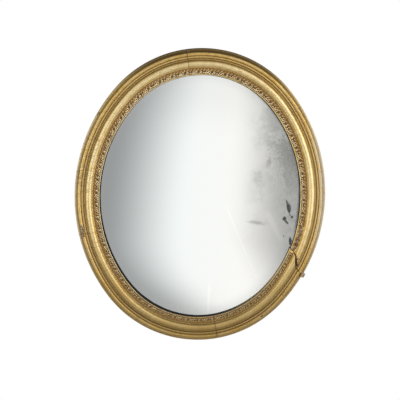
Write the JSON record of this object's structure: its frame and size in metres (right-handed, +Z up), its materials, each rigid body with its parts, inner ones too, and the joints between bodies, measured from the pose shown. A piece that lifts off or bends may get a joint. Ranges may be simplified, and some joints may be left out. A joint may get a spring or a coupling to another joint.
{
  "type": "oval giltwood mirror",
  "caption": "Oval wall mirror in a moulded gilt wood frame with leaf ornament at the sight edge, an aged plate, a planked back and a hanging ring.",
  "frame": {"origin": "centre of the oval on the flat back, where the mirror lies against the wall", "axes": "+Z up along the long axis, +X to the right seen from the front, +Y into the wall, so the mirror faces -Y"},
  "size_m": [0.61, 0.0477, 0.718],
  "materials": {
    "gilding": "water gilding over red clay and chalk ground, rubbed",
    "ornament_gilding": "gilded composition, toned dark in the hollows",
    "tongue_wood": "bare hardwood",
    "rail_wood": "aged pine, yellow-toned at its edge",
    "block_wood": "bare softwood with old glue",
    "board_wood": "aged dusty pine boards",
    "black_paper": "matt black paper",
    "silvered_glass": "old silvering, foxed and clouded",
    "screw_steel": "rust-darkened",
    "nail_iron": "rust-darkened iron",
    "strap_brass": "tarnished brass",
    "hanger_screw_brass": "tarnished brass",
    "ring_brass": "worn brass wire"
  },
  "bodies": {
    "mirror": {"moulding_upper_right": "gilding", "moulding_upper_left": "gilding", "moulding_lower_left": "gilding", "moulding_lower_right": "gilding", "tongue_top": "tongue_wood", "tongue_left": "tongue_wood", "tongue_bottom": "tongue_wood", "tongue_open_joint": "tongue_wood", "leaf_strip_1": "ornament_gilding", "leaf_strip_2": "ornament_gilding", "leaf_strip_3": "ornament_gilding", "leaf_strip_4": "ornament_gilding", "leaf_strip_5": "ornament_gilding", "leaf_strip_6": "ornament_gilding", "back_rail_upper": "rail_wood", "back_rail_left": "rail_wood", "back_rail_lower": "rail_wood", "back_rail_right": "rail_wood", "plate_block_01": "block_wood", "plate_block_02": "block_wood", "plate_block_03": "block_wood", "plate_block_04": "block_wood", "plate_block_05": "block_wood", "plate_block_06": "block_wood", "plate_block_07": "block_wood", "plate_block_08": "block_wood", "plate_block_09": "block_wood", "plate_block_10": "block_wood", "plate_block_11": "block_wood", "plate_block_12": "block_wood", "backboard_left": "board_wood", "backboard_middle": "board_wood", "backboard_right": "board_wood", "plate_binding": "black_paper", "mirror_plate": "silvered_glass", "rail_screws": "screw_steel", "backboard_nails": "nail_iron", "hanger_strap": "strap_brass", "hanger_screws": "hanger_screw_brass"},
    "ring": {"hanging_ring": "ring_brass"}
  },
  "joints": [
    {"name": "ring_swing", "type": "hinge", "parent": "mirror", "child": "ring", "pos_m": [0, 0.0034, 0.349], "axis": [1, 0, 0], "range_deg": [0, 180]}
  ]
}
